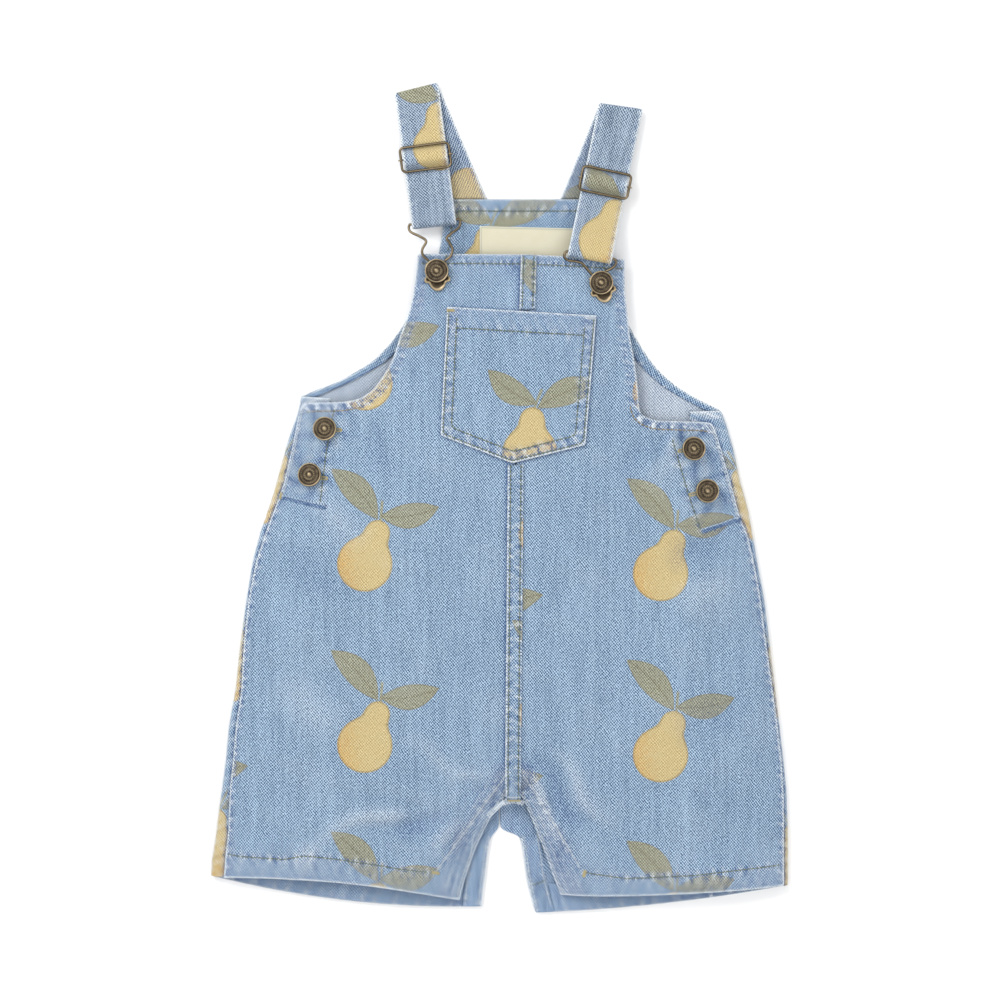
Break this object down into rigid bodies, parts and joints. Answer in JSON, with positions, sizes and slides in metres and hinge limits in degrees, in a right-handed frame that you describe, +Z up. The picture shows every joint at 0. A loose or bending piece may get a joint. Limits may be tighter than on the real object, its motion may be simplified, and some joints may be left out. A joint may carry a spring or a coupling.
{
  "type": "child's short denim dungarees, laid flat",
  "caption": "Child's short denim dungarees laid flat: bib with pointed pocket, strap sliders and clips, button side openings, short legs with open hems.",
  "frame": {"origin": "on the floor under the middle of the garment's bounding box", "axes": "+Y towards the shoulder straps, along the garment's length; +X to the viewer's right; +Z up, out of the front"},
  "size_m": [0.3648, 0.5248, 0.0172],
  "materials": {
    "denim": "washed twill",
    "denim_inside": "wrong side of washed twill",
    "label": "woven satin",
    "antique_brass": "darkened, rubbed on the edges"
  },
  "bodies": {
    "root": {"front_left": "denim", "front_right": "denim", "front_seam_upper": "denim", "front_seam_lower": "denim", "back_left": "denim", "back_right": "denim", "neck_facing": "denim_inside", "armhole_facing_left": "denim_inside", "armhole_facing_right": "denim_inside", "label": "label", "bib_pocket": "denim", "front_hem_left": "denim_inside", "front_hem_right": "denim_inside", "back_hem_left": "denim_inside", "back_hem_right": "denim_inside", "inseam_placket_left": "denim", "inseam_placket_right": "denim", "strap_left": "denim", "strap_right": "denim", "slider_left": "antique_brass", "slider_right": "antique_brass", "slider_bar_left": "antique_brass", "slider_bar_right": "antique_brass", "clip_wire_left": "antique_brass", "clip_wire_right": "antique_brass", "clip_plate_left": "antique_brass", "clip_plate_right": "antique_brass", "bib_button_left": "antique_brass", "bib_button_right": "antique_brass", "side_button_left_upper": "antique_brass", "side_button_left_lower": "antique_brass", "side_button_right_upper": "antique_brass", "side_button_right_lower": "antique_brass"}
  },
  "joints": []
}
